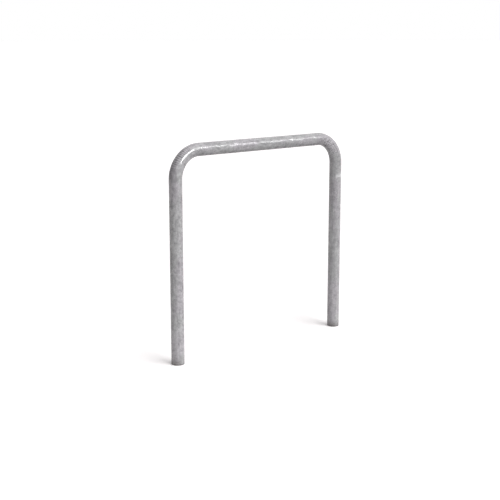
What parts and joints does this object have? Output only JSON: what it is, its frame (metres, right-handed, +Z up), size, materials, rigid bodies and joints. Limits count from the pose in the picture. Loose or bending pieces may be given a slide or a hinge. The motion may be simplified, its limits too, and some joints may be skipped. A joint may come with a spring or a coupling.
{
  "type": "hoop bike rack",
  "caption": "Upside-down U of bent galvanised steel tube that a bicycle leans on and is locked to, with legs that run below the paving to be set in concrete.",
  "frame": {"origin": "at paving level, midway between the two legs", "axes": "+Z up, +X along the rail from the left leg to the right one, +Y across the hoop"},
  "size_m": [0.8282, 0.16, 1.1],
  "materials": {
    "galvanised_tube": "hot-dip galvanised, dull grey with a fine mottle",
    "galvanised_rod": "hot-dip galvanised, matt"
  },
  "bodies": {
    "root": {"hoop_tube": "galvanised_tube", "left_anchor_rod": "galvanised_rod", "right_anchor_rod": "galvanised_rod"}
  },
  "joints": []
}
